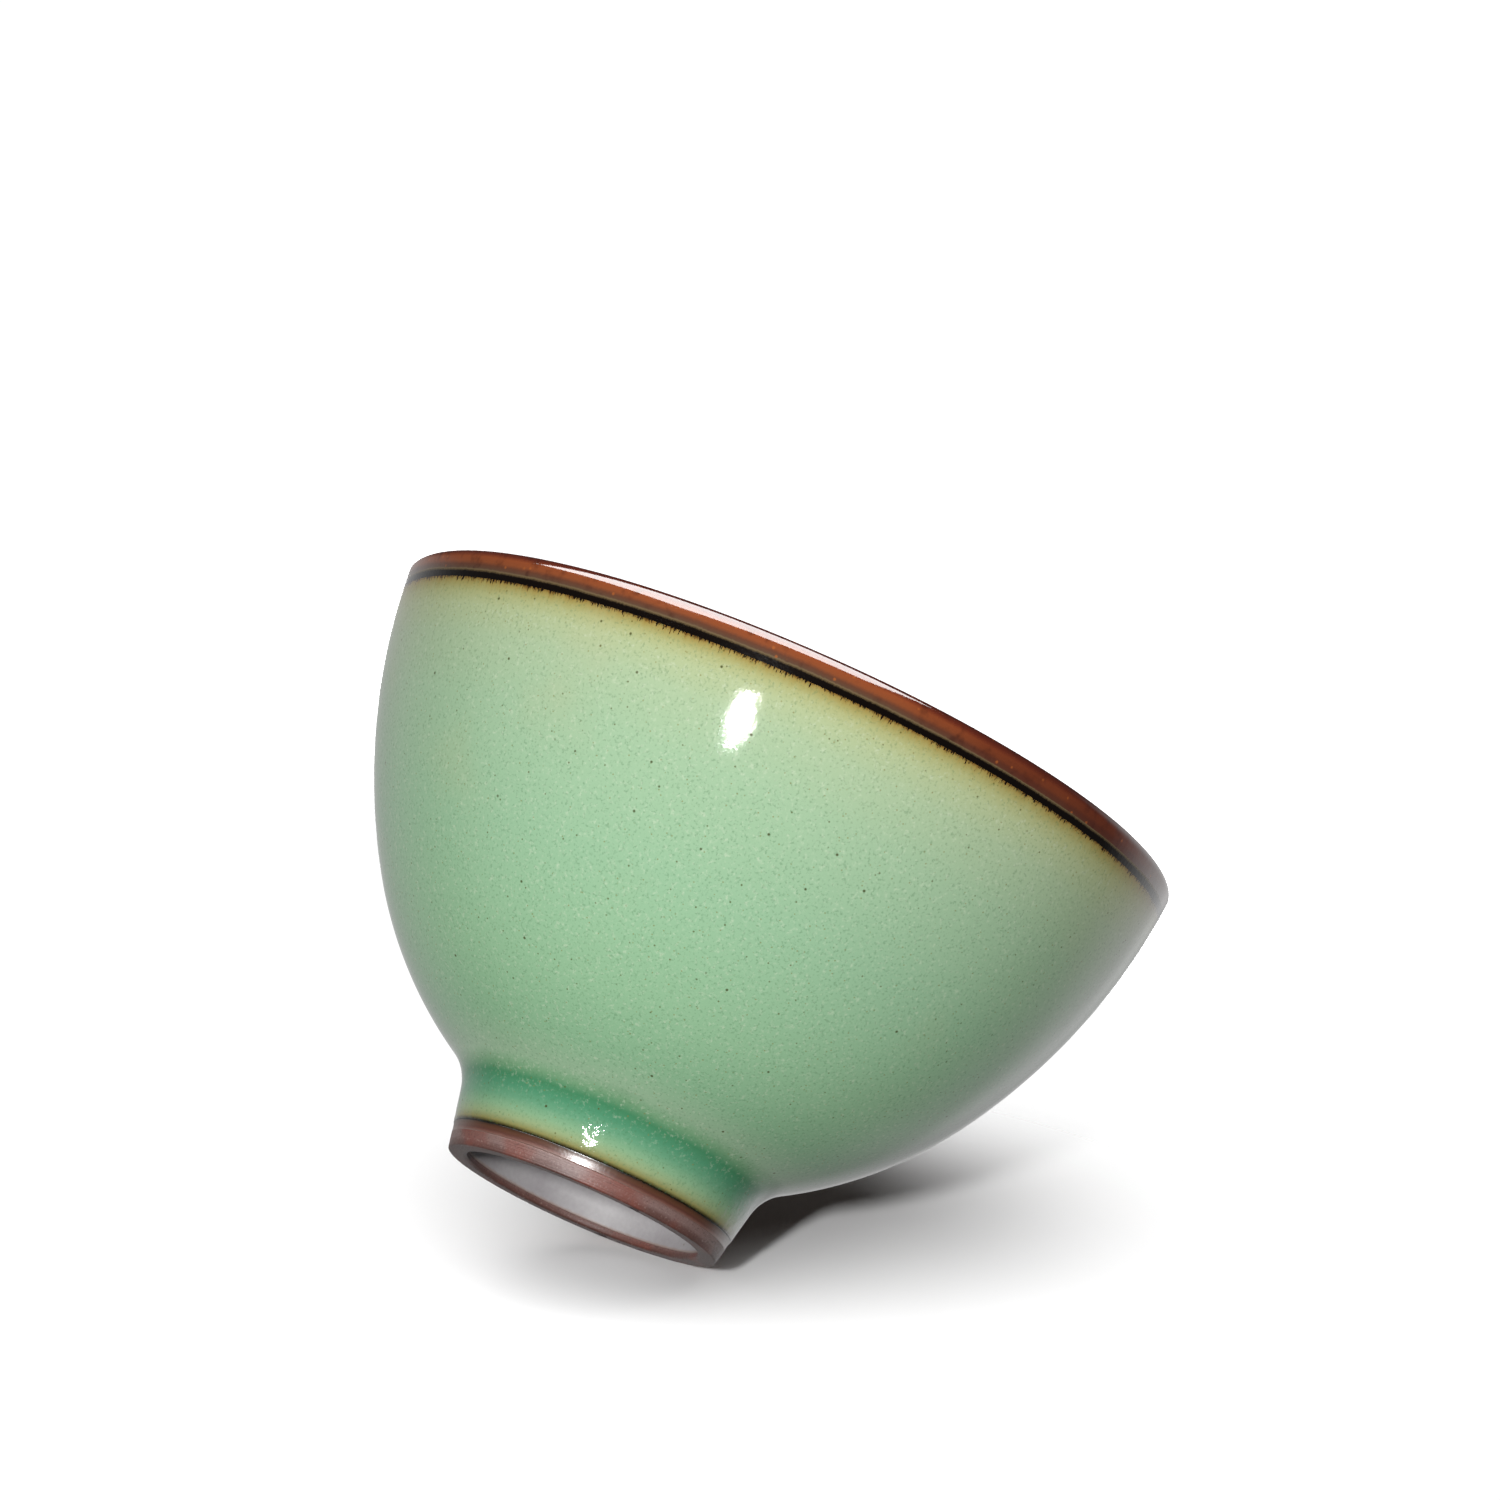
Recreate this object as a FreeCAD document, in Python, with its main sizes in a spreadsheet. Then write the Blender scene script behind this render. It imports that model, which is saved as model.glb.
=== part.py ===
"""Tea bowl for whisked green tea: a footed stoneware bowl under separate coats of glaze.

Every piece is a solid of revolution about Z, and the origin is the centre of the face that the bowl stands on.
The glazed surface is one chain of smooth stretches: the foot's cone, the hollow neck, the belly, the wall, the
round of the lip, the wall inside and the floor inside. The clay follows the same chain, one coat further in.
"""
import FreeCAD
import Part
import Sketcher
import os
from math import atan2, hypot, sqrt

DIMENSIONS = {
    "bowl_height": 75.6,
    "rim_radius": 60.0,
    "lip_radius": 1.6,
    "rim_lean": 5.5,
    "wall_radius": 92.4,
    "wall_sweep": 27.1,
    "belly_radius": 61.3,
    "neck_radius": 7.8,
    "foot_radius": 20.8,
    "foot_taper": 12.0,
    "foot_edge": 0.6,
    "inner_radius": 85.0,
    "floor_height": 13.0,
    "recess_radius": 18.0,
    "recess_depth": 6.0,
    "recess_fillet": 3.0,
    "coat": 0.5,
    "bare_height": 2.2,
    "foot_line": 3.7,
    "well_edge": 1.0,
    "rim_line": 70.9,
    "rim_line_width": 1.2,
    "inner_line": 67.0,
}

doc = FreeCAD.newDocument("tea_bowl")
sheet = doc.addObject("Spreadsheet::Sheet", "Sizes")
for row, (name, size) in enumerate(DIMENSIONS.items(), start=1):
    sheet.set(f"A{row}", name)
    sheet.set(f"B{row}", str(size))
    sheet.setAlias(f"B{row}", name)
doc.recompute()

# Formulas on the sheet's cells. X is the distance from the bowl's axis, Z the height, and angles are in degrees.
SURFACE = "0"
CLAY = "Sizes.coat"
CEILING = "(Sizes.recess_depth + Sizes.coat)"
RIM_GLAZE_EDGE = "(Sizes.rim_line + Sizes.rim_line_width)"
WALL_FOOT = "(Sizes.rim_lean + Sizes.wall_sweep)"

LIP_X = "(Sizes.rim_radius - Sizes.lip_radius)"
LIP_Z = "(Sizes.bowl_height - Sizes.lip_radius)"
WALL_X = f"({LIP_X} - (Sizes.wall_radius - Sizes.lip_radius) * cos(Sizes.rim_lean))"
WALL_Z = f"({LIP_Z} + (Sizes.wall_radius - Sizes.lip_radius) * sin(Sizes.rim_lean))"
BELLY_X = f"({WALL_X} + (Sizes.wall_radius - Sizes.belly_radius) * cos({WALL_FOOT}))"
BELLY_Z = f"({WALL_Z} - (Sizes.wall_radius - Sizes.belly_radius) * sin({WALL_FOOT}))"
INNER_X = f"({LIP_X} - (Sizes.inner_radius + Sizes.lip_radius) * cos(Sizes.rim_lean))"
INNER_Z = f"({LIP_Z} + (Sizes.inner_radius + Sizes.lip_radius) * sin(Sizes.rim_lean))"

# The floor's arc is centred on the axis and meets the inner wall smoothly.
INNER_RISE = f"({INNER_Z} - Sizes.floor_height)"
FLOOR_RADIUS = f"((Sizes.inner_radius^2 - {INNER_X}^2 - {INNER_RISE}^2) / (2 * (Sizes.inner_radius - {INNER_RISE})))"
FLOOR_Z = f"(Sizes.floor_height + {FLOOR_RADIUS})"

# The neck's arc touches the belly's arc and the foot's cone. Along the cone, its centre is at NECK_RUN from the
# point level with the belly's centre.
NECK_REACH = "(Sizes.belly_radius + Sizes.neck_radius)"
BELLY_TO_CONE = (
    f"((Sizes.foot_radius - {BELLY_X}) * cos(Sizes.foot_taper) + {BELLY_Z} * sin(Sizes.foot_taper)"
    " + Sizes.neck_radius)"
)
NECK_RUN = f"sqrt({NECK_REACH}^2 - {BELLY_TO_CONE}^2)"
NECK_X = f"({BELLY_X} + {BELLY_TO_CONE} * cos(Sizes.foot_taper) - {NECK_RUN} * sin(Sizes.foot_taper))"
NECK_Z = f"({BELLY_Z} - {BELLY_TO_CONE} * sin(Sizes.foot_taper) - {NECK_RUN} * cos(Sizes.foot_taper))"

# Each arc of the chain: its centre, its radius on the glazed surface, whether it bulges away from the clay, and
# how far it begins above its centre, as a share of its radius.
ARCS = {
    "neck": (NECK_X, NECK_Z, "Sizes.neck_radius", False, "sin(Sizes.foot_taper)"),
    "belly": (BELLY_X, BELLY_Z, "Sizes.belly_radius", True, f"(({NECK_Z} - {BELLY_Z}) / {NECK_REACH})"),
    "wall": (WALL_X, WALL_Z, "Sizes.wall_radius", True, f"(-sin({WALL_FOOT}))"),
    "lip": (LIP_X, LIP_Z, "Sizes.lip_radius", True, "(-sin(Sizes.rim_lean))"),
    "inner": (INNER_X, INNER_Z, "Sizes.inner_radius", False, "(-sin(Sizes.rim_lean))"),
    "floor": ("0", FLOOR_Z, FLOOR_RADIUS, False, f"(({FLOOR_Z} - {INNER_Z}) / (Sizes.inner_radius - {FLOOR_RADIUS}))"),
}
CHAIN = ["foot", *ARCS]

START, END, CENTRE = 1, 2, 3
ORIGIN = (-1, START)
AXIS = -2


def number(formula):
    """What a formula comes to."""
    return float(sheet.evalExpression(formula))


def foot_side(height, depth=SURFACE):
    """The foot's radius at a height, so deep under the glazed surface."""
    return f"(Sizes.foot_radius + {height} * tan(Sizes.foot_taper) - {depth} / cos(Sizes.foot_taper))"


def arc_radius(name, depth):
    """An arc's radius, so deep under the glazed surface."""
    radius, outward = ARCS[name][2:4]
    return f"({radius} {'-' if outward else '+'} {depth})"


def arc_beginning(name, depth):
    """The height at which an arc begins, so deep under the glazed surface."""
    return f"({ARCS[name][1]} + {arc_radius(name, depth)} * {ARCS[name][4]})"


class Section:
    """The half-section of one piece, drawn in the XZ plane and turned about Z."""

    def __init__(self, label):
        self.body = doc.addObject("PartDesign::Body", label)
        self.sketch = self.body.newObject("Sketcher::SketchObject", f"{label}_section")
        plane = next(f for f in self.body.Origin.OriginFeatures if f.Role == "XZ_Plane")
        self.sketch.AttachmentSupport = (plane, "")
        self.sketch.MapMode = "FlatFace"

    def bind(self, *facts, formula):
        """A dimension that follows a formula."""
        index = self.sketch.addConstraint(Sketcher.Constraint(*facts, number(formula)))
        self.sketch.setExpression(f"Constraints[{index}]", formula)

    def place(self, vertex, x=None, z=None):
        """Holds a vertex at its distance from the axis, its height or both."""
        if x == "0":
            self.sketch.addConstraint(Sketcher.Constraint("PointOnObject", *vertex, AXIS))
        elif x is not None:
            self.bind("DistanceX", *ORIGIN, *vertex, formula=x)
        if z is not None:
            self.bind("DistanceY", *ORIGIN, *vertex, formula=z)

    def join(self, vertex, other):
        """Makes two vertices one."""
        self.sketch.addConstraint(Sketcher.Constraint("Coincident", *vertex, *other))

    def line(self, first, last):
        """A line between two points. Returns its two vertices."""
        ends = [FreeCAD.Vector(*point, 0) for point in (first, last)]
        index = self.sketch.addGeometry(Part.LineSegment(*ends))
        return (index, START), (index, END)

    def arc(self, name, depth, first, last):
        """One arc of the chain between two points. Returns its vertices there, in that order."""
        x, z, _, outward, _ = ARCS[name]
        centre = (number(x), number(z))
        angles = [atan2(point[1] - centre[1], point[0] - centre[0]) for point in (first, last)]
        radius = number(arc_radius(name, depth))
        circle = Part.Circle(FreeCAD.Vector(*centre, 0), FreeCAD.Vector(0, 0, 1), radius)
        index = self.sketch.addGeometry(Part.ArcOfCircle(circle, *sorted(angles)))
        self.place((index, CENTRE), x, z)
        return ((index, START), (index, END)) if outward else ((index, END), (index, START))

    def bridge(self, vertex, other):
        """A line from one vertex to another."""
        points = [self.sketch.getPoint(*end) for end in (vertex, other)]
        first, last = self.line(*[(point.x, point.y) for point in points])
        self.join(vertex, first)
        self.join(last, other)

    def polygon(self, *corners):
        """A closed outline of straight sides, each corner given as formulas for x and z."""
        points = [(number(x), number(z)) for x, z in corners]
        sides = [self.line(points[i - 1], points[i]) for i in range(len(points))]
        for i, corner in enumerate(corners):
            self.join(sides[i - 1][1], sides[i][0])
            self.place(sides[i][1], *corner)

    def outline(self, depth, first, last, low, high=None):
        """The chain from one stretch to another, so deep under the glazed surface. Returns its two end vertices.

        It begins at the height low, and stops at the height high, or on the bowl's axis if the floor is the last.
        """
        names = CHAIN[CHAIN.index(first) : CHAIN.index(last) + 1]
        heights = [low] + [arc_beginning(name, depth) for name in names[1:]]
        points = [chain_point(name, depth, number(z)) for name, z in zip(names, heights)]
        if last == "floor":
            points.append((0.0, number(f"Sizes.floor_height - {depth}")))
        else:
            points.append(chain_point(last, depth, number(high)))
        ends = []
        for i, name in enumerate(names):
            if name == "foot":
                begin, end = self.line(points[i], points[i + 1])
                self.place(begin, foot_side(low, depth))
            else:
                begin, end = self.arc(name, depth, points[i], points[i + 1])
                if i == 0 or names[i - 1] == "foot":
                    self.bind("Radius", begin[0], formula=arc_radius(name, depth))
            if ends:
                self.join(ends[-1], begin)
            self.place(begin, z=heights[i])
            ends += [begin, end]
        if last == "floor":
            self.place(ends[-1], "0")
        else:
            self.place(ends[-1], z=high)
        return ends[0], ends[-1]

    def turn(self):
        """The solid that the section makes when it is turned about the bowl's axis."""
        solid = self.body.newObject("PartDesign::Revolution", f"{self.body.Name}_turned")
        solid.Profile = self.sketch
        solid.ReferenceAxis = (self.sketch, ["V_Axis"])
        solid.Angle = 360
        doc.recompute()
        return solid

    def round_rings(self, solid, size, *rings):
        """Rounds the circular edges of a solid that have the given radii and heights."""
        edges = []
        for i, edge in enumerate(solid.Shape.Edges, start=1):
            box = edge.BoundBox
            for x, z in rings:
                if hypot(box.XMax - number(x), box.ZMax - number(z), box.ZMin - number(z)) < 1e-4:
                    edges.append(f"Edge{i}")
        rounded = self.body.newObject("PartDesign::Fillet", f"{self.body.Name}_rounded")
        rounded.Base = (solid, edges)
        rounded.setExpression("Radius", size)


def chain_point(name, depth, z):
    """The point of a stretch at a height."""
    if name == "foot":
        return number(foot_side(str(z), depth)), z
    half = sqrt(number(arc_radius(name, depth)) ** 2 - (z - number(ARCS[name][1])) ** 2)
    return number(ARCS[name][0]) + (-half if name == "neck" else half), z


def stoneware_body():
    """The thrown wall and floor, down to the level of the recess under the foot."""
    piece = Section("stoneware_body")
    foot, middle = piece.outline(CLAY, "foot", "floor", CEILING)
    underside, corner = piece.line(piece.sketch.getPoint(*foot)[:2], (0.0, number(CEILING)))
    piece.join(foot, underside)
    piece.place(corner, "0", CEILING)
    piece.bridge(corner, middle)
    piece.turn()


def foot_ring():
    """The trimmed ring that the bowl stands on. Its lowest band and its standing face are bare clay."""
    piece = Section("foot_ring")
    inner = "Sizes.recess_radius"
    glazed_inner = "(Sizes.recess_radius + Sizes.coat)"
    piece.polygon(
        (inner, "0.0"),
        (foot_side("0"), "0.0"),
        (foot_side("Sizes.bare_height"), "Sizes.bare_height"),
        (foot_side("Sizes.bare_height", CLAY), "Sizes.bare_height"),
        (foot_side(CEILING, CLAY), CEILING),
        (glazed_inner, CEILING),
        (glazed_inner, "Sizes.well_edge"),
        (inner, "Sizes.well_edge"),
    )
    ring = piece.turn()
    piece.round_rings(ring, "Sizes.foot_edge", (inner, "0"), (foot_side("0"), "0"))


def foot_iron_band():
    """The iron wash between the green glaze and the bare clay."""
    piece = Section("foot_iron_band")
    piece.polygon(
        (foot_side("Sizes.bare_height"), "Sizes.bare_height"),
        (foot_side("Sizes.foot_line"), "Sizes.foot_line"),
        (foot_side("Sizes.foot_line", CLAY), "Sizes.foot_line"),
        (foot_side("Sizes.bare_height", CLAY), "Sizes.bare_height"),
    )
    piece.turn()


def foot_well_glaze():
    """The coat that lines the recess under the foot."""
    piece = Section("foot_well_glaze")
    inner = "Sizes.recess_radius"
    glazed_inner = "(Sizes.recess_radius + Sizes.coat)"
    piece.polygon(
        ("0", "Sizes.recess_depth"),
        (inner, "Sizes.recess_depth"),
        (inner, "Sizes.well_edge"),
        (glazed_inner, "Sizes.well_edge"),
        (glazed_inner, CEILING),
        ("0", CEILING),
    )
    lining = piece.turn()
    piece.round_rings(lining, "Sizes.recess_fillet", (inner, "Sizes.recess_depth"))


def coat(label, first, last, low, high=None):
    """A coat of glaze, from its surface down to the clay, over some stretches of the chain."""
    piece = Section(label)
    surface = piece.outline(SURFACE, first, last, low, high)
    clay = piece.outline(CLAY, first, last, low, high)
    piece.bridge(surface[0], clay[0])
    piece.bridge(surface[1], clay[1])
    piece.turn()


stoneware_body()
foot_ring()
foot_iron_band()
foot_well_glaze()
coat("celadon_outside", "foot", "wall", "Sizes.foot_line", "Sizes.rim_line")
coat("rim_dark_line", "wall", "wall", "Sizes.rim_line", RIM_GLAZE_EDGE)
coat("rim_iron_glaze", "wall", "inner", RIM_GLAZE_EDGE, "Sizes.inner_line")
coat("celadon_inside", "inner", "floor", "Sizes.inner_line")
doc.recompute()

pieces = [o for o in doc.Objects if o.TypeId == "PartDesign::Body"]
failed = [o.Name for o in doc.Objects if {"Invalid", "Error"} & set(o.State)]
failed += [p.Label for p in pieces if p.Shape.isNull() or not p.Shape.isValid() or len(p.Shape.Solids) != 1]
if failed:
    raise SystemExit(f"not built: {failed}")

os.makedirs("parts", exist_ok=True)
for piece in pieces:
    piece.Shape.exportStep(f"parts/{piece.Label}.step")
    print(f"{piece.Label}: {piece.Shape.Volume / 1000:.2f} cm3")
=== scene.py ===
from math import atan2, cos, pi, radians, sin, sqrt, tan

import bmesh
import bpy
from mathutils import Matrix, Vector, noise


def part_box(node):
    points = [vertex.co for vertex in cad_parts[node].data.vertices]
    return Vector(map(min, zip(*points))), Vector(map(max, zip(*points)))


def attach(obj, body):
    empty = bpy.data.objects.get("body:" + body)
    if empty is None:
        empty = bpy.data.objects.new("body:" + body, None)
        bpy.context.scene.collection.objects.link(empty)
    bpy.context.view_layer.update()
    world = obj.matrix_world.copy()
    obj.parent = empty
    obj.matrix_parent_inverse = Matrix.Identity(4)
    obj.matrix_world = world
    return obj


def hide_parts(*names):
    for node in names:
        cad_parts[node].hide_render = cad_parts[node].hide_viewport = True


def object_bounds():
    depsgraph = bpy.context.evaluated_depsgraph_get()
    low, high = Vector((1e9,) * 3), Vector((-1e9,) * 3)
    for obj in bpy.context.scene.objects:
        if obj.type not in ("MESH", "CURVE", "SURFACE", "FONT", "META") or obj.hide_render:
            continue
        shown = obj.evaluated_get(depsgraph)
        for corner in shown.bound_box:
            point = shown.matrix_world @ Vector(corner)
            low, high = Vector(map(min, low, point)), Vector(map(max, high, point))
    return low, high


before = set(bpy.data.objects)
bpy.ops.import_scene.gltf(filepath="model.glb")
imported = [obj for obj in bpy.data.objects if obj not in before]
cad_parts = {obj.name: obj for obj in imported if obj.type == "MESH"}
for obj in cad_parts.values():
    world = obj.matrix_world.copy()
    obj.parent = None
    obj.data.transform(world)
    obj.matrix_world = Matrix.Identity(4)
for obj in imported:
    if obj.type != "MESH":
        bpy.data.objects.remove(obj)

cad_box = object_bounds()

# ---- The stoneware body ----
# The wall and floor of the bowl, thrown in one piece from iron-bearing stoneware and trimmed on the wheel.
# Glaze covers it, so each coat follows the curve that is worked out here: from the foot up the belly and
# wall, over the lip, and down inside to the middle of the floor. Sizes are in millimetres.
MM = 0.001
COAT = 0.5
RIM_RADIUS = cad_box[1].x / MM
BOWL_HEIGHT = cad_box[1].z / MM
LIP_RADIUS = 1.6
RIM_LEAN = radians(5.5)
WALL_RADIUS = 92.4
WALL_SWEEP = radians(27.1)
BELLY_RADIUS = 61.3
NECK_RADIUS = 7.8
FOOT_RADIUS = 20.8
FOOT_TAPER = radians(12)
INNER_RADIUS = 85.0
FLOOR_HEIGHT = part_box("celadon_inside")[0].z / MM + COAT


def heading(angle):
    """The direction at an angle above straight out from the bowl's axis."""
    return Vector((cos(angle), sin(angle)))


lip = Vector((RIM_RADIUS - LIP_RADIUS, BOWL_HEIGHT - LIP_RADIUS))
wall = lip - heading(-RIM_LEAN) * (WALL_RADIUS - LIP_RADIUS)
belly = wall + heading(-RIM_LEAN - WALL_SWEEP) * (WALL_RADIUS - BELLY_RADIUS)
inner = lip - heading(-RIM_LEAN) * (INNER_RADIUS + LIP_RADIUS)
inner_rise = inner.y - FLOOR_HEIGHT
floor_radius = (INNER_RADIUS**2 - inner.x**2 - inner_rise**2) / (2 * (INNER_RADIUS - inner_rise))
floor = Vector((0, FLOOR_HEIGHT + floor_radius))

# The neck's hollow touches the foot's cone and the belly.
cone_out = heading(-FOOT_TAPER)
reach = BELLY_RADIUS + NECK_RADIUS
off_cone = (Vector((FOOT_RADIUS, 0)) - belly).dot(cone_out) + NECK_RADIUS
neck = belly + cone_out * off_cone - heading(pi / 2 - FOOT_TAPER) * sqrt(reach**2 - off_cone**2)

ON_FOOT, ON_NECK, ON_BELLY, ON_WALL, ON_LIP, ON_INNER, ON_FLOOR = range(7)
CENTRES = [None, neck, belly, wall, lip, inner, floor]


def foot_side(height, depth=0.0):
    """The point of the foot's cone at a height, so deep under its surface."""
    return Vector((FOOT_RADIUS + height * tan(FOOT_TAPER) - depth / cos(FOOT_TAPER), height))


def joints(depth):
    """The points where the curve's stretches meet, so deep under the surface of the glaze."""
    return [
        neck - cone_out * (NECK_RADIUS + depth),
        belly + (neck - belly).normalized() * (BELLY_RADIUS - depth),
        belly + heading(-RIM_LEAN - WALL_SWEEP) * (BELLY_RADIUS - depth),
        lip + heading(-RIM_LEAN) * (LIP_RADIUS - depth),
        lip - heading(-RIM_LEAN) * (LIP_RADIUS - depth),
        floor + (floor - inner).normalized() * (floor_radius + depth),
        Vector((0, FLOOR_HEIGHT - depth)),
    ]


def at_height(stretch, height, depth=0.0):
    """The point of the foot's, the wall's or the inner wall's stretch at a height."""
    if stretch == ON_FOOT:
        return foot_side(height, depth)
    radius = WALL_RADIUS - depth if stretch == ON_WALL else INNER_RADIUS + depth
    centre = CENTRES[stretch]
    return centre + Vector((sqrt(radius**2 - (height - centre.y) ** 2), height - centre.y))


class Outline:
    """Half of a piece's section, drawn as a wire in the XZ plane and turned about the bowl's axis."""

    ROW = 0.75
    SECTOR_STEPS = 16
    DOUBLINGS = 4

    def __init__(self, point):
        self.bm = bmesh.new()
        self.first = self.last = self.bm.verts.new((point.x * MM, 0, point.y * MM))
        self.corners = []

    def line(self, point, rounded=0.0):
        """Draws straight to a point. A corner with a size is rounded by it."""
        start = self.last.co.copy()
        end = Vector((point.x * MM, 0, point.y * MM))
        rows = max(1, round((end - start).length / MM / self.ROW))
        for row in range(1, rows + 1):
            self.last = bmesh.ops.extrude_vert_indiv(self.bm, verts=[self.last])["verts"][0]
            self.last.co = start.lerp(end, row / rows)
        if rounded:
            self.corners.append((self.last, rounded))
        return self

    def arc(self, centre, point, rounded=0.0, row=None):
        """Draws an arc about a centre to a point."""
        hub = Vector((centre.x * MM, 0, centre.y * MM))
        start = self.last.co - hub
        end = Vector((point.x * MM, 0, point.y * MM)) - hub
        angle = atan2(start.z * end.x - start.x * end.z, start.x * end.x + start.z * end.z)
        rows = max(2, round(abs(angle) * end.length / MM / (row or self.ROW)))
        spun = bmesh.ops.spin(
            self.bm, geom=[self.last], cent=hub, axis=(0, 1, 0), dvec=(0, 0, 0), angle=angle, steps=rows
        )
        self.last = next(v for v in spun["geom_last"] if isinstance(v, bmesh.types.BMVert))
        if rounded:
            self.corners.append((self.last, rounded))
        return self

    def along(self, stretches, points):
        """Draws one stretch of the curve after another, each to its point."""
        for stretch, point in zip(stretches, points):
            if stretch == ON_FOOT:
                self.line(point)
            else:
                self.arc(CENTRES[stretch], point, row=LIP_ROW if stretch == ON_LIP else None)
        return self

    def turned(self, name, closed=True):
        """Turns the outline into a piece. An outline that begins and ends on the axis needs no closing."""
        bm = self.bm
        if closed:
            bm.edges.new((self.last, self.first))
        for corner, size in self.corners:
            bmesh.ops.bevel(
                bm, geom=[corner], offset=size * MM, offset_type="OFFSET", segments=3, profile=0.5,
                affect="VERTICES", material=-1,
            )
        sector = 2 * pi / 2**self.DOUBLINGS
        bmesh.ops.spin(
            bm, geom=bm.verts[:] + bm.edges[:], cent=(0, 0, 0), axis=(0, 0, 1), dvec=(0, 0, 0),
            angle=sector, steps=self.SECTOR_STEPS,
        )
        for doubling in range(self.DOUBLINGS):
            copied = bmesh.ops.duplicate(bm, geom=bm.verts[:] + bm.edges[:] + bm.faces[:])["geom"]
            copied = [v for v in copied if isinstance(v, bmesh.types.BMVert)]
            turn = Matrix.Rotation(sector * 2**doubling, 3, "Z")
            bmesh.ops.rotate(bm, cent=(0, 0, 0), matrix=turn, verts=copied)
        bmesh.ops.remove_doubles(bm, verts=bm.verts, dist=MERGE * MM)
        bmesh.ops.recalc_face_normals(bm, faces=bm.faces)
        for vertex in bm.verts:
            vertex.co -= unevenness(vertex.co)
        mesh = bpy.data.meshes.new(name)
        bm.to_mesh(mesh)
        bm.free()
        mesh.shade_smooth()
        mesh.set_sharp_from_angle(angle=SHARP)
        piece = bpy.data.objects.new(name, mesh)
        bpy.context.scene.collection.objects.link(piece)
        return piece


LIP_ROW = 0.2
MERGE = 0.001
SHARP = radians(38)

# What the hand leaves on the wheel: above the foot, which is trimmed true, the wall is out of round by about
# the thickness of paper, with faint throwing rings, and the lip dips by as much.
TRUE_BELOW = 4
UNEVEN_OVER = 30
OUT_OF_ROUND = 0.12
DRIFT_SPAN = 45
THROWING_RING = 0.012
RING_PITCH = 5.5
LIP_DIP = 0.12
DIP_SPAN = 38
DIP_FROM = 45
DIP_OVER = 25


def unevenness(place):
    """How far a point of the true turned shape lies outside the hand-made one, in metres."""
    height = place.z / MM
    share = min(1, max(0, (height - TRUE_BELOW) / UNEVEN_OVER))
    radial = Vector((place.x, place.y, 0))
    if radial.length < MM:
        return Vector()
    drift = noise.noise(Vector((place.x / MM, place.y / MM, height * 0.6)) / DRIFT_SPAN)
    ring = 0.5 + 0.5 * sin(2 * pi * height / RING_PITCH + atan2(place.y, place.x) + 2 * drift)
    inward = OUT_OF_ROUND * (0.5 + 0.5 * drift) + THROWING_RING * ring
    dip = LIP_DIP * (0.5 + 0.5 * noise.noise(Vector((place.x / MM, place.y / MM, 7)) / DIP_SPAN))
    near_lip = min(1, max(0, (height - DIP_FROM) / DIP_OVER))
    return (radial.normalized() * inward * share + Vector((0, 0, dip)) * near_lip * near_lip) * MM


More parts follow.
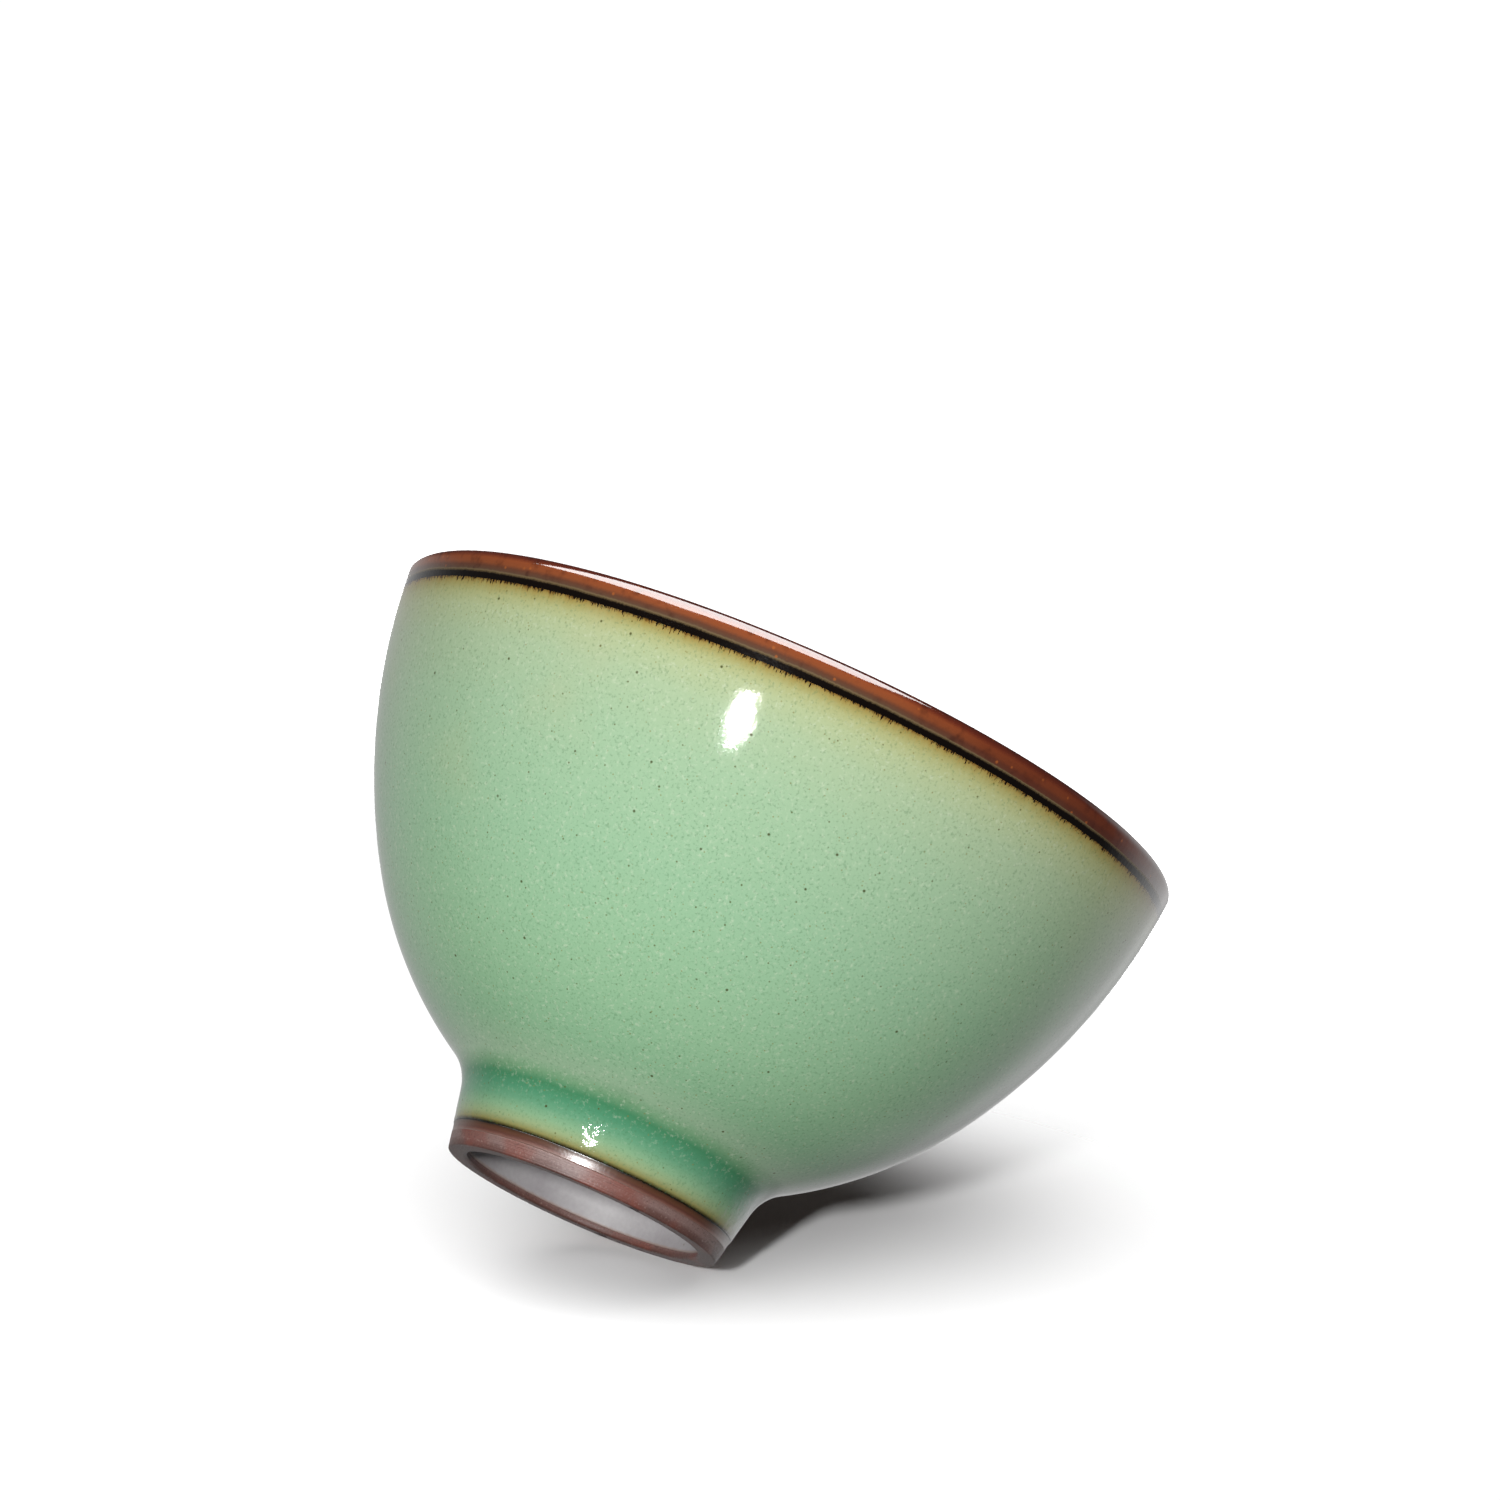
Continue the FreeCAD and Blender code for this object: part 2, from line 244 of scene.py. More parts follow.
class Socket:
    """A shader node's output. Arithmetic on it adds Math nodes, and node() adds a node of any other kind."""

    def __init__(self, tree, socket=None):
        self.tree = tree
        self.socket = socket

    def node(self, kind, settings, inputs, output=0):
        made = self.tree.nodes.new(f"ShaderNode{kind}")
        for name, setting in settings.items():
            if name != "stops":
                setattr(made, name, setting)
                continue
            stops = made.color_ramp.elements
            while len(stops) < len(setting):
                stops.new(0.5)
            for stop, (position, colour) in zip(stops, setting):
                stop.position = position
                stop.color = colour
        for name, value in inputs.items():
            if isinstance(value, Socket):
                self.tree.links.new(value.socket, made.inputs[name])
            else:
                made.inputs[name].default_value = value
        return Socket(self.tree, made.outputs[output])

    def math(self, operation, *values):
        return self.node("Math", {"operation": operation}, dict(enumerate(values)))

    def __add__(self, other):
        return self.math("ADD", self, other)

    def __sub__(self, other):
        return self.math("SUBTRACT", self, other)

    def __rsub__(self, other):
        return self.math("SUBTRACT", other, self)

    def __mul__(self, other):
        return self.math("MULTIPLY", self, other)

    def __truediv__(self, other):
        return self.math("DIVIDE", self, other)

    __radd__ = __add__
    __rmul__ = __mul__

    def axis(self, letter):
        """This vector's X, Y or Z."""
        return self.node("SeparateXYZ", {}, {0: self}, output=letter)

    def length(self):
        return self.node("VectorMath", {"operation": "LENGTH"}, {0: self}, output=1)

    def step(self, low, high):
        """0 below low, 1 above high and smooth between. With low above high, it falls."""
        if low < high:
            edges = {"From Min": low, "From Max": high, "To Min": 0.0, "To Max": 1.0}
        else:
            edges = {"From Min": high, "From Max": low, "To Min": 1.0, "To Max": 0.0}
        return self.node("MapRange", {"interpolation_type": "SMOOTHSTEP"}, {"Value": self, **edges})

    def mix(self, other, factor, blend="MIX"):
        """This colour with another over it. Inputs 6 and 7 are a colour Mix node's two colours."""
        settings = {"data_type": "RGBA", "blend_type": blend}
        return self.node("Mix", settings, {0: factor, 6: self, 7: other}, output=2)

    def ramp(self, stops, low, high):
        """The colours of a list of (value, colour), for values from low to high."""
        places = [((value - low) / (high - low), colour) for value, colour in stops]
        return self.node("ValToRGB", {"stops": places}, {0: (self - low) / (high - low)})

    def grain(self, scale, detail=2.0, roughness=0.5, stretch=(1, 1, 1)):
        """Noise about 0 on this vector, with so many cells to the millimetre."""
        vector = self.node("Mapping", {}, {"Vector": self, "Scale": stretch})
        inputs = {"Vector": vector, "Scale": scale, "Detail": detail, "Roughness": roughness}
        return self.node("TexNoise", {}, inputs) - 0.5

    def specks(self, cell, size, share):
        """Round spots: one in some of the cells of a width, 1 in the middle of each and 0 outside it."""
        inputs = {"Vector": self, "Scale": 1 / cell}
        distance = self.node("TexVoronoi", {}, inputs)
        pick = self.node("TexVoronoi", {}, inputs, output=1)
        chosen = self.node("SeparateColor", {}, {0: pick}).step(1 - share, 1 - share * 0.6)
        return (distance * cell).step(size, size * 0.45) * chosen


def rgb(red, green, blue):
    """A colour as the eye sees it, 0 to 255, made linear."""
    return (*[((c / 255 + 0.055) / 1.055) ** 2.4 if c > 10 else c / 3295 for c in (red, green, blue)], 1.0)


def finish(name):
    """A new material: returns it, its shader node and the place on the piece in millimetres."""
    material = bpy.data.materials.new(name)
    material.use_nodes = True
    shader = next(n for n in material.node_tree.nodes if n.type == "BSDF_PRINCIPLED")
    start = Socket(material.node_tree)
    place = start.node("TexCoord", {}, {}, output="Object")
    return material, shader, place.node("VectorMath", {"operation": "SCALE"}, {0: place, "Scale": 1 / MM})


def feed(shader, **values):
    """Sets or links a shader's sockets. An underscore in a name stands for a space."""
    for name, value in values.items():
        socket = shader.inputs[name.replace("_", " ")]
        if isinstance(value, Socket):
            value.tree.links.new(value.socket, socket)
        else:
            socket.default_value = value


def bump(height, strength, distance):
    """A normal from a height in millimetres."""
    return height.node("Bump", {}, {"Height": height, "Strength": strength, "Distance": distance * MM})


def stand_in(piece, material, node):
    """Gives a finished piece its material, hangs it under the bowl's root and hides the imported part it
    stands for.
    """
    piece.data.materials.append(material)
    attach(piece, "root")
    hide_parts(node)


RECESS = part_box("foot_well_glaze")
RECESS_DEPTH = RECESS[1].z / MM - COAT
RECESS_RADIUS = RECESS[1].x / MM - COAT
UNDERSIDE = RECESS_DEPTH + COAT

clay_joints = joints(COAT)
body = Outline(Vector((0, UNDERSIDE))).line(foot_side(UNDERSIDE, COAT))
body.along([ON_FOOT, ON_NECK, ON_BELLY, ON_WALL, ON_LIP, ON_INNER, ON_FLOOR], clay_joints)
body = body.turned("thrown_body", closed=False)

stoneware, shader, place = finish("fired stoneware")
grit = place.grain(1.6, detail=6, roughness=0.7)
clay = place.grain(0.08).ramp([(-0.3, rgb(150, 122, 104)), (0.3, rgb(128, 104, 92))], -0.5, 0.5)
clay = clay.mix(rgb(78, 58, 50), place.specks(1.4, 0.3, 0.3))
feed(shader, Base_Color=clay, Roughness=0.78 + 0.2 * grit, Normal=bump(grit, 0.5, 0.08))
stand_in(body, stoneware, "stoneware_body")

# ---- The foot ring ----
# The ring the bowl stands on, cut from the same clay with a turning tool while leather-hard, and left bare.
# The kiln has toasted it to a satin mauve brown, redder beside the iron wash, with the tool's fine lines
# round it; its colour darkens toward the standing edge, and that darkening is painted shade. Its shoulder
# meets the iron band in a small ledge, and its inner edge is cut off at a slant.
BARE_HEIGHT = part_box("foot_iron_band")[0].z / MM
WELL_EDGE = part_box("foot_well_glaze")[0].z / MM
FOOT_EDGE = 0.6
STANDING_START = 1.0
SHOULDER_INSET = 0.02
SHOULDER_EDGE = 0.08
LEDGE_RISE = 0.12
WELL_STEP = 0.05
SLANT_HEIGHT = 0.25
SLANT_WIDTH = 0.3
SLANT_EDGE = 0.2

ring = Outline(Vector((RECESS_RADIUS + STANDING_START, 0)))
ring.ROW = 0.25
ring.line(Vector((FOOT_RADIUS, 0)), rounded=FOOT_EDGE)
ring.line(foot_side(BARE_HEIGHT, SHOULDER_INSET), rounded=SHOULDER_EDGE)
ring.line(foot_side(BARE_HEIGHT + LEDGE_RISE, COAT))
ring.line(foot_side(UNDERSIDE, COAT))
ring.line(Vector((RECESS_RADIUS + COAT, UNDERSIDE)))
ring.line(Vector((RECESS_RADIUS + COAT, WELL_EDGE)))
ring.line(Vector((RECESS_RADIUS + WELL_STEP, WELL_EDGE)), rounded=WELL_STEP)
ring.line(Vector((RECESS_RADIUS, SLANT_HEIGHT)))
ring.line(Vector((RECESS_RADIUS + SLANT_WIDTH, 0)), rounded=SLANT_EDGE)
ring = ring.turned("trimmed_foot_ring")


def off_axis(place):
    """How far a place on a piece is from the bowl's axis."""
    return place.node("CombineXYZ", {}, {0: place.axis("X"), 1: place.axis("Y")}).length()


bare_clay, shader, place = finish("bare toasted clay")
height = place.axis("Z")
drawn_out = place.node("CombineXYZ", {}, {0: off_axis(place) * 5, 1: height * 5, 2: place.axis("X") * 0.04})
tool_lines = drawn_out.grain(1.0, detail=3)
grit = place.grain(3.0, detail=4, roughness=0.65)
clouds = place.grain(0.12, detail=3)
tone = height + 1.2 * clouds + 0.8 * tool_lines
# The ramp darkens the ring toward its standing edge: that darkening is painted shade.
clay = tone.ramp(
    [
        (-0.2, rgb(88, 56, 48)),
        (0.6, rgb(104, 74, 68)),
        (1.3, rgb(136, 110, 105)),
        (2.0, rgb(134, 108, 102)),
        (2.4, rgb(122, 86, 76)),
    ],
    -1.0,
    3.0,
)
clay = clay.mix(rgb(126, 64, 50), 0.75 * clouds.step(-0.04, 0.16))
clay = clay.mix(rgb(66, 44, 40), 0.7 * (grit + 0.5 * tool_lines).step(0.02, 0.25))
clay = clay.mix(rgb(178, 156, 150), 0.5 * (grit + 0.6 * tool_lines).step(-0.08, -0.3))
relief = 0.05 * tool_lines + 0.03 * grit
feed(shader, Base_Color=clay, Roughness=0.46 + 0.25 * grit, Normal=bump(relief, 1.0, 1.0))
stand_in(ring, bare_clay, "foot_ring")

# ---- The iron band on the foot ----
# A brushed line of iron wash between the green glaze and the bare clay. It has melted to a thin glossy brown
# skin that lies a little lower than both, and turns out to the ring's shoulder at its hem.
FOOT_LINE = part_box("foot_iron_band")[1].z / MM
BAND_HOLLOW = 0.08
TOP_SLOPE = 0.45
TOP_INSET = 0.04
TOP_EDGE = 0.06
HEM_SLOPE = 0.55
HEM_CURVE = 0.4
HEM_RISE = 0.06
HEM_INSET = 0.03
HEM_EDGE = 0.05
HEM_UNDERCUT = 0.1

band = Outline(foot_side(FOOT_LINE, COAT))
band.ROW = 0.15
band.line(foot_side(FOOT_LINE, TOP_INSET), rounded=TOP_EDGE)
band.line(foot_side(FOOT_LINE - TOP_SLOPE, BAND_HOLLOW))
band.line(foot_side(BARE_HEIGHT + HEM_SLOPE, BAND_HOLLOW), rounded=HEM_CURVE)
band.line(foot_side(BARE_HEIGHT + HEM_RISE, HEM_INSET), rounded=HEM_EDGE)
band.line(foot_side(BARE_HEIGHT, HEM_UNDERCUT))
band.line(foot_side(BARE_HEIGHT, COAT))
band = band.turned("iron_wash_band")

iron_wash, shader, place = finish("melted iron wash")
height = place.axis("Z")
clouds = place.grain(0.25, detail=4)
pits = place.grain(2.2, detail=3)
tone = height + 0.4 * clouds + 0.25 * pits
brown = tone.ramp(
    [
        (2.2, rgb(132, 104, 96)),
        (2.5, rgb(120, 78, 66)),
        (2.75, rgb(94, 54, 42)),
        (3.1, rgb(96, 58, 38)),
        (3.5, rgb(78, 48, 26)),
        (3.66, rgb(16, 8, 2)),
    ],
    2.0,
    4.0,
)
feed(shader, Base_Color=brown, Roughness=0.3 + 0.1 * pits, IOR=1.8, Normal=bump(pits, 0.6, 0.03))
stand_in(band, iron_wash, "foot_iron_band")

# ---- The glaze of the well ----
# The recess under the foot is lined with a thin pale grey glaze, poured in and swirled. It has run smooth
# over the recess's corner, and stops in a soft edge just inside the ring.
WELL_FILLET = 3.0
WELL_EDGE_ROUND = 0.22

well = Outline(Vector((0, UNDERSIDE)))
well.ROW = 0.5
well.line(Vector((RECESS_RADIUS + COAT, UNDERSIDE)))
well.line(Vector((RECESS_RADIUS + COAT, WELL_EDGE)))
well.line(Vector((RECESS_RADIUS, WELL_EDGE)), rounded=WELL_EDGE_ROUND)
well.line(Vector((RECESS_RADIUS, RECESS_DEPTH - WELL_FILLET)))
well.arc(
    Vector((RECESS_RADIUS - WELL_FILLET, RECESS_DEPTH - WELL_FILLET)),
    Vector((RECESS_RADIUS - WELL_FILLET, RECESS_DEPTH)),
)
well.line(Vector((0, RECESS_DEPTH)))
well = well.turned("foot_well_lining", closed=False)

grey_glaze, shader, place = finish("pale grey glaze")
clouds = place.grain(0.07, detail=3)
mottle = place.grain(1.6, detail=3)
grey = (clouds + 0.25 * mottle).ramp(
    [(-0.3, rgb(134, 128, 130)), (0.0, rgb(158, 154, 156)), (0.3, rgb(180, 178, 178))], -0.5, 0.5
)
grey = grey.mix(rgb(150, 128, 118), 0.8 * (place.axis("Z") + 0.3 * mottle).step(1.5, 1.05))
grey = grey.mix(rgb(120, 112, 104), 0.7 * place.specks(2.6, 0.28, 0.4))
feed(shader, Base_Color=grey, Roughness=0.55, Normal=bump(place.grain(0.9, detail=2), 0.5, 0.03))
stand_in(well, grey_glaze, "foot_well_glaze")

# ---- The celadon outside ----
# A thick coat of transparent green iron glaze. It is thin and yellow under the rim, where the iron above has
# bled into it in fine hairs, and it has run down and pooled emerald in the neck. Below that it thins to
# ochre and stops in a black line. Iron in the clay has come up through it as small specks.
RIM_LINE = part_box("rim_dark_line")[0].z / MM
COAT_EDGE = 0.1

glaze_joints = joints(0.0)
outside = Outline(at_height(ON_FOOT, FOOT_LINE, COAT))
outside.line(at_height(ON_FOOT, FOOT_LINE), rounded=COAT_EDGE)
outside.along([ON_FOOT, ON_NECK, ON_BELLY, ON_WALL], glaze_joints[:3] + [at_height(ON_WALL, RIM_LINE)])
outside.line(at_height(ON_WALL, RIM_LINE, COAT))
outside.along([ON_WALL, ON_BELLY, ON_NECK], clay_joints[2::-1])
outside = outside.turned("celadon_coat")


def celadon(name, stops, low, high, fringe):
    """Green glaze whose colour follows the height, with the iron bled into it at the height of its fringe."""
    material, shader, place = finish(name)
    height = place.axis("Z")
    clouds = place.grain(0.035, detail=3)
    runs = place.grain(1.0, detail=3, stretch=(1.1, 1.1, 0.12))
    hairs = place.grain(1.0, detail=5, roughness=0.75, stretch=(2.8, 2.8, 0.4))
    mottle = place.grain(2.4, detail=3, roughness=0.6)
    near_fringe = height.step(fringe - 5, fringe)
    drift = 3.0 * clouds * height.step(4, 16) * (1 - near_fringe)
    tone = height + drift + (0.9 * runs + 0.7 * hairs) * near_fringe
    colour = tone.ramp(stops, low, high)
    pale = place.grain(1.5, detail=4, roughness=0.7).step(0.02, 0.22) * (0.1 + 0.9 * height.step(5, 14))
    colour = colour.mix(rgb(226, 236, 210), 0.38 * pale * (1 - near_fringe))
    colour = colour.mix(rgb(76, 124, 84), 0.34 * mottle.step(0.02, 0.2))
    sand = place.grain(0.05, detail=2).step(0.05, 0.3) * height.step(20, 60)
    colour = colour.mix(rgb(206, 196, 150), 0.18 * sand)
    drips = place.grain(1.0, detail=2, stretch=(5.5, 5.5, 1.0))
    bleed = (height + 4.2 * hairs + 3.0 * drips + 0.6 * runs).step(fringe - 0.15, fringe + 0.05)
    colour = colour.mix(rgb(26, 14, 6), bleed)
    colour = colour.mix(rgb(72, 72, 26), 0.85 * place.specks(2.7, 0.28, 0.4))
    colour = colour.mix(rgb(90, 90, 38), 0.75 * place.specks(1.5, 0.19, 0.4))
    colour = colour.mix(rgb(136, 126, 62), 0.6 * place.specks(0.9, 0.16, 0.5))
    lumps = place.grain(0.7, detail=3)
    ripple = (0.012 + 0.09 * height.step(11, 7)) * lumps + 0.009 * mottle
    feed(shader, Base_Color=colour, Roughness=0.06, IOR=1.5, Normal=bump(ripple, 1.0, 1.0))
    return material


green_glaze = celadon(
    "celadon glaze",
    [
        (3.70, rgb(14, 8, 2)),
        (3.9, rgb(34, 26, 6)),
        (4.2, rgb(146, 138, 80)),
        (5.2, rgb(160, 180, 132)),
        (6.5, rgb(142, 184, 142)),
        (8.0, rgb(110, 168, 130)),
        (9.6, rgb(84, 152, 114)),
        (11.0, rgb(72, 140, 98)),
        (12.2, rgb(124, 170, 128)),
        (13.6, rgb(166, 202, 164)),
        (17.0, rgb(150, 196, 154)),
        (24.0, rgb(156, 200, 158)),
        (40.0, rgb(161, 202, 163)),
        (55.0, rgb(172, 205, 167)),
        (63.0, rgb(182, 206, 166)),
        (67.0, rgb(189, 203, 156)),
        (68.8, rgb(186, 190, 134)),
        (69.8, rgb(176, 168, 104)),
        (70.4, rgb(170, 148, 80)),
        (70.8, rgb(124, 86, 32)),
    ],
    3.5,
    71.5,
    RIM_LINE,
)
stand_in(outside, green_glaze, "celadon_outside")

# ---- The dark line under the rim ----
# Where the iron glaze of the rim overlaps the green one, the two have melted into a narrow black seam. Along
# its top the green shows through in a fuzzy olive edge.
RIM_GLAZE_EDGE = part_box("rim_dark_line")[1].z / MM

seam = Outline(at_height(ON_WALL, RIM_LINE, COAT))
seam.ROW = 0.2
seam.line(at_height(ON_WALL, RIM_LINE))
seam.along([ON_WALL], [at_height(ON_WALL, RIM_GLAZE_EDGE)])
seam.line(at_height(ON_WALL, RIM_GLAZE_EDGE, COAT))
seam = seam.turned("dark_seam")


def iron_colour(place, height):
    """Iron glaze by height: black seam, olive edge, taupe, then sienna that darkens to mahogany."""
    hairs = place.grain(1.0, detail=4, roughness=0.7, stretch=(2.6, 2.6, 0.5))
    clouds = place.grain(0.07, detail=3)
    tone = height + 0.35 * hairs + 0.5 * clouds
    return tone.ramp(
        [
            (70.7, rgb(10, 4, 2)),
            (71.65, rgb(14, 6, 3)),
            (71.88, rgb(96, 80, 54)),
            (72.02, rgb(122, 102, 74)),
            (72.2, rgb(100, 72, 54)),
            (72.7, rgb(110, 66, 46)),
            (73.2, rgb(150, 80, 44)),
            (73.9, rgb(158, 80, 42)),
            (74.5, rgb(122, 48, 26)),
            (75.6, rgb(86, 24, 14)),
        ],
        70.5,
        76.0,
    )


dark_seam, shader, place = finish("black seam glaze")
pitted = bump(place.grain(1.6, detail=3), 0.6, 0.03)
feed(shader, Base_Color=iron_colour(place, place.axis("Z")), Roughness=0.1, Normal=pitted)
stand_in(seam, dark_seam, "rim_dark_line")

# ---- The iron glaze of the rim ----
# The rim is dipped in a brown iron glaze that goes over the lip and a little way down inside. It is glossy,
# taupe by the seam, sienna on the outside of the lip and mahogany over the top, with rusty flecks. Its
# outside is darker on the side turned from the light, and that darkening is painted shade.
INNER_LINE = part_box("rim_iron_glaze")[0].z / MM

rim = Outline(at_height(ON_WALL, RIM_GLAZE_EDGE, COAT))
rim.ROW = 0.4
rim.line(at_height(ON_WALL, RIM_GLAZE_EDGE))
rim.along([ON_WALL, ON_LIP, ON_INNER], glaze_joints[3:5] + [at_height(ON_INNER, INNER_LINE)])
rim.line(at_height(ON_INNER, INNER_LINE, COAT))
rim.along([ON_INNER, ON_LIP], clay_joints[4:2:-1])
rim.along([ON_WALL], [at_height(ON_WALL, RIM_GLAZE_EDGE, COAT)])
rim = rim.turned("iron_rim", closed=False)

rim_glaze, shader, place = finish("iron rim glaze")
height = place.axis("Z")
outer = iron_colour(place, height)
hairs = place.grain(1.0, detail=4, roughness=0.7, stretch=(2.6, 2.6, 0.3))
inner_tone = height + 0.8 * hairs + 0.8 * place.grain(0.07, detail=3)
inside_colour = inner_tone.ramp(
    [
        (66.9, rgb(24, 14, 8)),
        (67.9, rgb(44, 24, 14)),
        (69.0, rgb(104, 62, 40)),
        (71.0, rgb(132, 72, 42)),
        (73.5, rgb(116, 56, 34)),
        (75.4, rgb(92, 34, 22)),
    ],
    66.0,
    76.0,
)
# Cloudy darker mahogany patches, gathered toward the side of the rim turned from the light: the patches are
# the glaze's own, the one-sided darkening is painted shade.
shaded_side_and_patches = (0.8 * place.grain(0.06, detail=4) - 0.012 * place.axis("Y")).step(0.0, 0.5)
outer = outer.mix(rgb(92, 30, 14), 0.75 * shaded_side_and_patches)
colour = inside_colour.mix(outer, off_axis(place).step(lip.x - 0.4, lip.x + 0.4))
colour = colour.mix(rgb(60, 22, 14), 0.6 * place.grain(0.5, detail=4).step(0.0, 0.3))
colour = colour.mix(rgb(190, 104, 46), 0.6 * place.specks(1.3, 0.3, 0.5))
ripple = 0.015 * place.grain(0.7, detail=3) + 0.004 * place.grain(3.0)
feed(shader, Base_Color=colour, Roughness=0.08, IOR=1.8, Normal=bump(ripple, 1.0, 1.0))
stand_in(rim, rim_glaze, "rim_iron_glaze")

# ---- The celadon inside ----
# The same green glaze, poured in and out. It is thin and amber below the iron rim and gathers deeper on the
# floor, where the tea is whisked.
inside = Outline(glaze_joints[6])
inside.along([ON_FLOOR, ON_INNER], [glaze_joints[5], at_height(ON_INNER, INNER_LINE)])
inside.line(at_height(ON_INNER, INNER_LINE, COAT))
inside.along([ON_INNER, ON_FLOOR], clay_joints[5:])
inside = inside.turned("celadon_lining", closed=False)

lining_glaze = celadon(
    "celadon lining glaze",
    [
        (12.0, rgb(112, 168, 132)),
        (14.0, rgb(126, 178, 142)),
        (18.0, rgb(146, 190, 152)),
        (28.0, rgb(156, 196, 158)),
        (45.0, rgb(166, 202, 162)),
        (56.0, rgb(178, 204, 158)),
        (62.0, rgb(184, 198, 146)),
        (64.8, rgb(184, 184, 122)),
        (66.0, rgb(168, 148, 86)),
        (66.8, rgb(110, 80, 36)),
    ],
    12.0,
    68.0,
    INNER_LINE,
)
stand_in(inside, lining_glaze, "celadon_inside")

# ---- The camera ----
# It looks at the bowl from a little below its foot, rolled, as at a bowl that is tipped on its foot's edge.
VIEW_TURN = radians(266)
VIEW_RISE = radians(11.41)
VIEW_ROLL = radians(23.773)
VIEW_DISTANCE = 1.2
FOOT_IN_VIEW = Vector((-0.02407, -0.065145, -VIEW_DISTANCE))
LENS = 201.6
SENSOR = 36

turned_to_bowl = Matrix.Rotation(VIEW_TURN, 3, "Z") @ Matrix.Rotation(pi / 2 + VIEW_RISE, 3, "X")
view = turned_to_bowl @ Matrix.Rotation(VIEW_ROLL, 3, "Z")
camera = bpy.data.objects.new("camera", bpy.data.cameras.new("camera"))
camera.data.lens = LENS
camera.data.sensor_width = SENSOR
camera.matrix_world = Matrix.Translation(-(view @ FOOT_IN_VIEW)) @ view.to_4x4()
bpy.context.scene.collection.objects.link(camera)
bpy.context.scene.camera = camera
bpy.context.scene.view_settings.view_transform = "Standard"

# ---- The floor ----
# A pale table that touches the edge of the foot ring, tipped as the bowl is tipped on it, and a level one
# under the standing bowl. Both fade into the white room a little way out, and are one-sided sheets: from
# below, the bowl shows through.
TABLE_PITCH = radians(16)
TABLE_SIZE = 1.2
TABLE_PAINT = (0.86, 0.86, 0.86, 1)

upright = Vector((0, 0, 1))
tipped_up = view @ Vector((0, cos(TABLE_PITCH), sin(TABLE_PITCH)))
tipped_under = min(vertex.co.dot(tipped_up) for vertex in ring.data.vertices)


def table(name, normal, distance, fade):
    """A square sheet, so far along its normal, that fades out between two distances in millimetres."""
    bm = bmesh.new()
    bmesh.ops.create_grid(bm, x_segments=1, y_segments=1, size=TABLE_SIZE / 2)
    turn = upright.rotation_difference(normal).to_matrix().to_4x4()
    bmesh.ops.transform(bm, matrix=Matrix.Translation(normal * distance) @ turn, verts=bm.verts)
    mesh = bpy.data.meshes.new(name)
    bm.to_mesh(mesh)
    bm.free()
    sheet = bpy.data.objects.new(name, mesh)
    bpy.context.scene.collection.objects.link(sheet)
    material, shader, place = finish(name)
    feed(shader, Base_Color=TABLE_PAINT, Roughness=0.9, Specular_IOR_Level=0.1)
    behind = place.node("NewGeometry", {}, {}, output="Backfacing")
    far = place.length().step(*fade)
    clear = place.node("BsdfTransparent", {}, {})
    shown = Socket(material.node_tree, shader.outputs[0])
    surface = place.node("MixShader", {}, {0: behind.math("MAXIMUM", behind, far), 1: shown, 2: clear})
    output = next(n for n in material.node_tree.nodes if n.type == "OUTPUT_MATERIAL")
    material.node_tree.links.new(surface.socket, output.inputs[0])
    sheet.data.materials.append(material)
    sheet.visible_shadow = False
    return sheet


tipped = table("tipped_table", tipped_up, tipped_under, fade=(55, 125))
level = table("level_table", upright, cad_box[0].z, fade=(80, 190))

# The tables throw no light up onto the bowl and aren't mirrored in it, and the green coat doesn't tint them.
outside.visible_diffuse = False
tipped.visible_diffuse = False
tipped.visible_glossy = False
level.visible_diffuse = False
level.visible_glossy = False
level.visible_transmission = False

# ---- The light ----
# A small strong box beside the camera lights the bowl. Wide dim ones stand behind it, at its right and over
# its inside, and each table has a box of its own. A level one high up shows only as a streak in the gloss.
LIGHT_DISTANCE = 1.0


def soft_box(name, direction, size, radiance, distance=LIGHT_DISTANCE, level=False, only_on=()):
    """A light in a direction as the camera sees it, an oval aimed at the bowl or a level oblong."""
    width, height = size
    lamp = bpy.data.lights.new(name, "AREA")
    lamp.shape = "RECTANGLE" if level else "ELLIPSE"
    lamp.size = width
    lamp.size_y = height
    lamp.energy = radiance * pi * width * height * (1 if level else pi / 4)
    box = bpy.data.objects.new(name, lamp)
    aim = view @ Vector(direction).normalized()
    target = (cad_box[0] + cad_box[1]) / 2
    turn = view @ Matrix.Rotation(-pi / 2, 3, "X") if level else aim.to_track_quat("Z", "Y").to_matrix()
    box.matrix_world = Matrix.Translation(target + aim * distance) @ turn.to_4x4()
    box.visible_camera = False
    bpy.context.scene.collection.objects.link(box)
    if only_on:
        lit = bpy.data.collections.new(f"{name}_lights")
        for thing in only_on:
            lit.objects.link(thing)
        box.light_linking.receiver_collection = lit
    return box


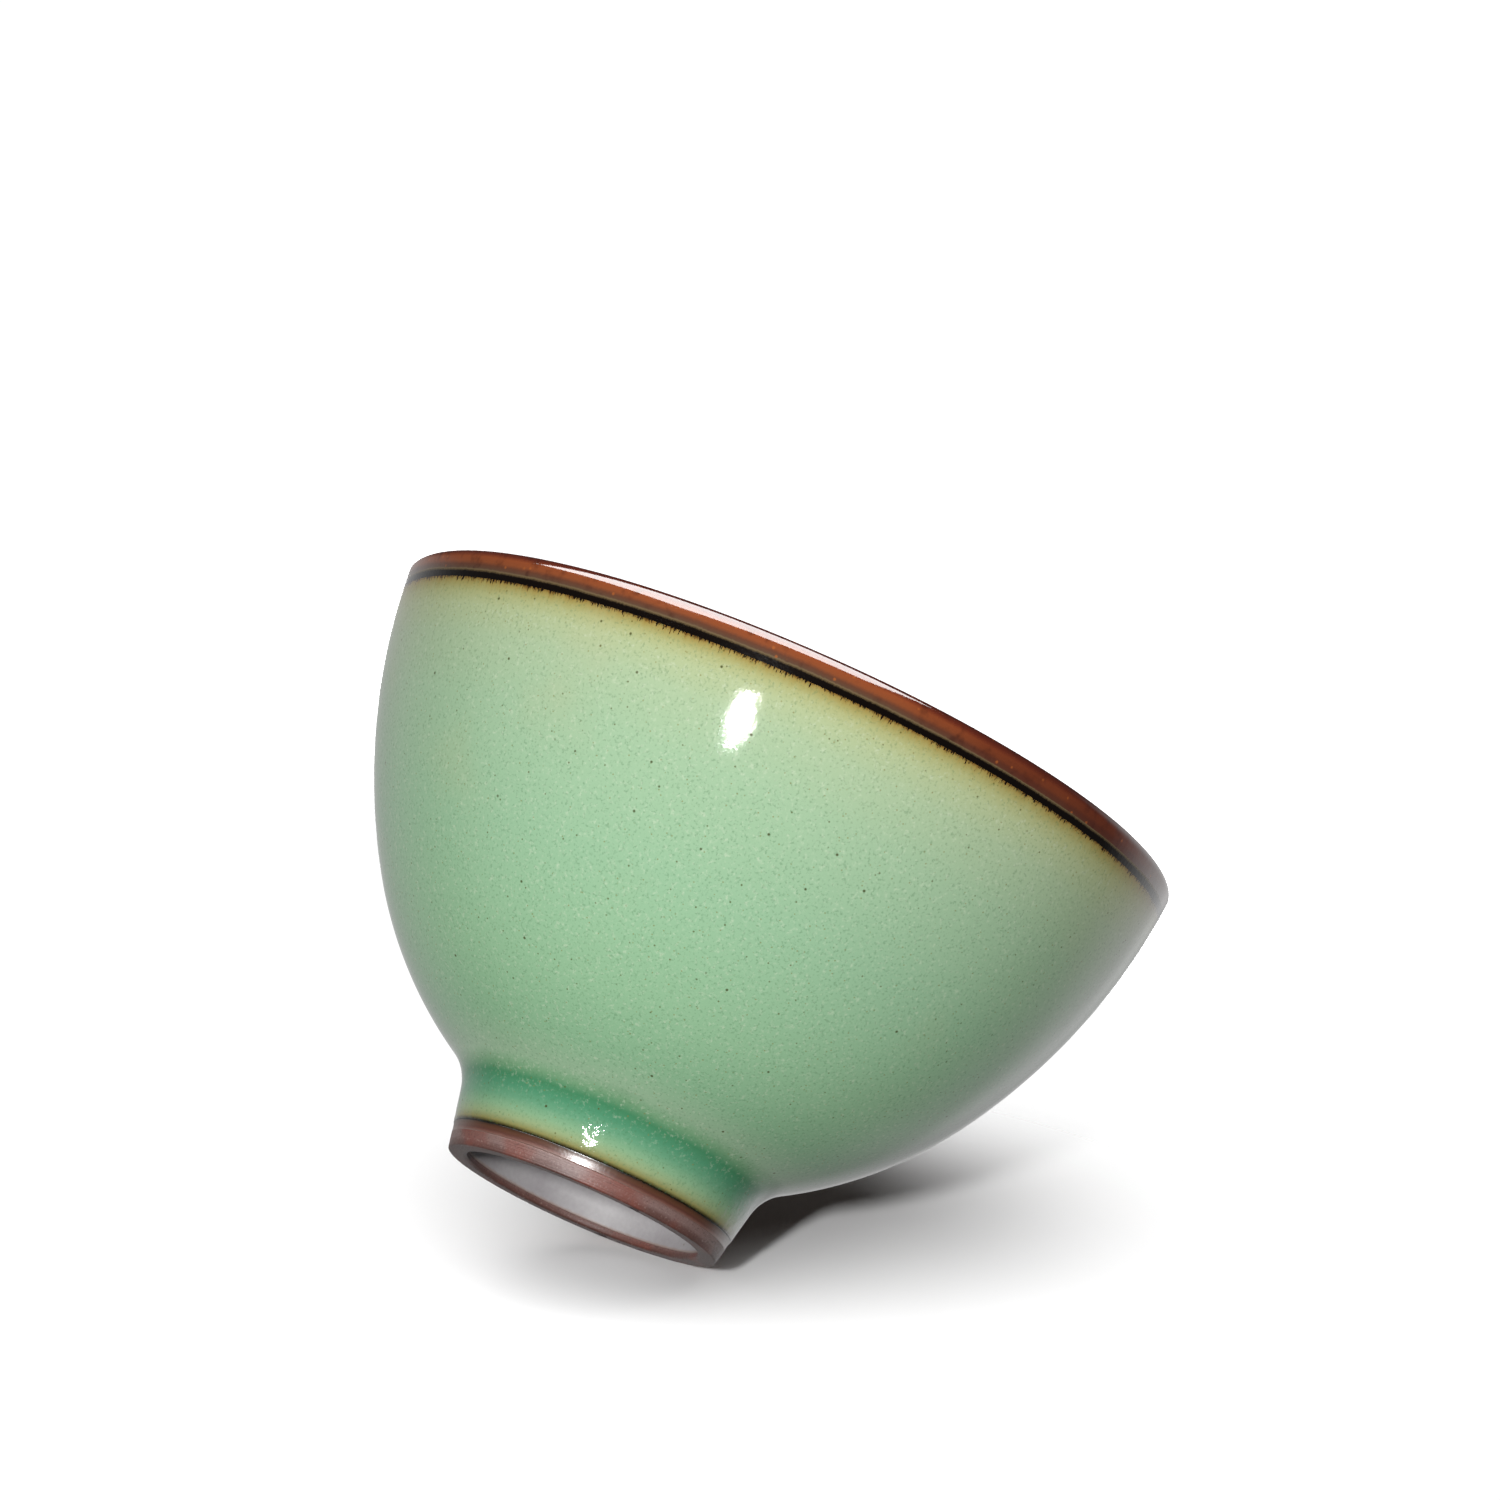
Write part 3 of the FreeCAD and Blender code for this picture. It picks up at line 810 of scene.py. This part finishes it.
pieces = [body, ring, band, well, outside, seam, rim, inside]
to_view = view.transposed()
soft_box("key_box", (-0.218, 0.088, 0.97), size=(0.07, 0.115), radiance=482)
soft_box("back_box", (0.1, 0.35, -0.9), size=(0.9, 0.9), radiance=4, only_on=pieces)
soft_box("top_box", to_view @ Vector((0.2, -0.3, 1)), size=(0.8, 0.8), radiance=3, only_on=[inside])
side = soft_box("side_box", (1.0, 0.35, 0.1), size=(0.8, 0.8), radiance=0.8, only_on=pieces)
side.visible_glossy = False
soft_box("table_box", (-0.1, 0.95, 0.55), size=(2.4, 2.4), radiance=2.4, only_on=[tipped])
soft_box("level_box", to_view @ upright, size=(1.5, 1.5), radiance=4.5, only_on=[level])
gleam = soft_box("gleam_box", (-0.05, 1.0, 0.66), size=(1.9, 1.6), radiance=8.5, distance=1.2, level=True)
gleam.visible_diffuse = False

# The room is white to the camera and dim to the bowl, but for white paper behind it that its gloss mirrors:
# more of it at the right, less of it below, and none above.
AMBIENT = 0.05
DARK_WALLS = 0.02
PAPER = 0.48
PAPER_AT_RIGHT = 0.4
PAPER_BELOW = 0.7

world = bpy.data.worlds.new("white_room")
world.use_nodes = True
bpy.context.scene.world = world
room = Socket(world.node_tree)
backdrop = world.node_tree.nodes["Background"]
direction = room.node("TexCoord", {}, {}, output="Generated")
to_right, above, behind = [
    room.node("VectorMath", {"operation": "DOT_PRODUCT"}, {0: direction, 1: view @ Vector(way)}, output=1)
    for way in [(1, 0, 0), (0, 1, 0), (0, 0, -1)]
]
seen = room.node("LightPath", {}, {}, output="Is Camera Ray")
mirrored = room.node("LightPath", {}, {}, output="Is Glossy Ray")
paper = behind.step(0.2, 0.8) * (PAPER + PAPER_AT_RIGHT * to_right.step(0.15, 0.35)) * above.step(0.4, 0.1)
paper = (DARK_WALLS + paper) * (PAPER_BELOW + (1 - PAPER_BELOW) * above.step(-0.6, -0.4))
strength = seen + mirrored * paper + AMBIENT
world.node_tree.links.new(strength.socket, backdrop.inputs["Strength"])
backdrop.inputs["Color"].default_value = (1, 1, 1, 1)
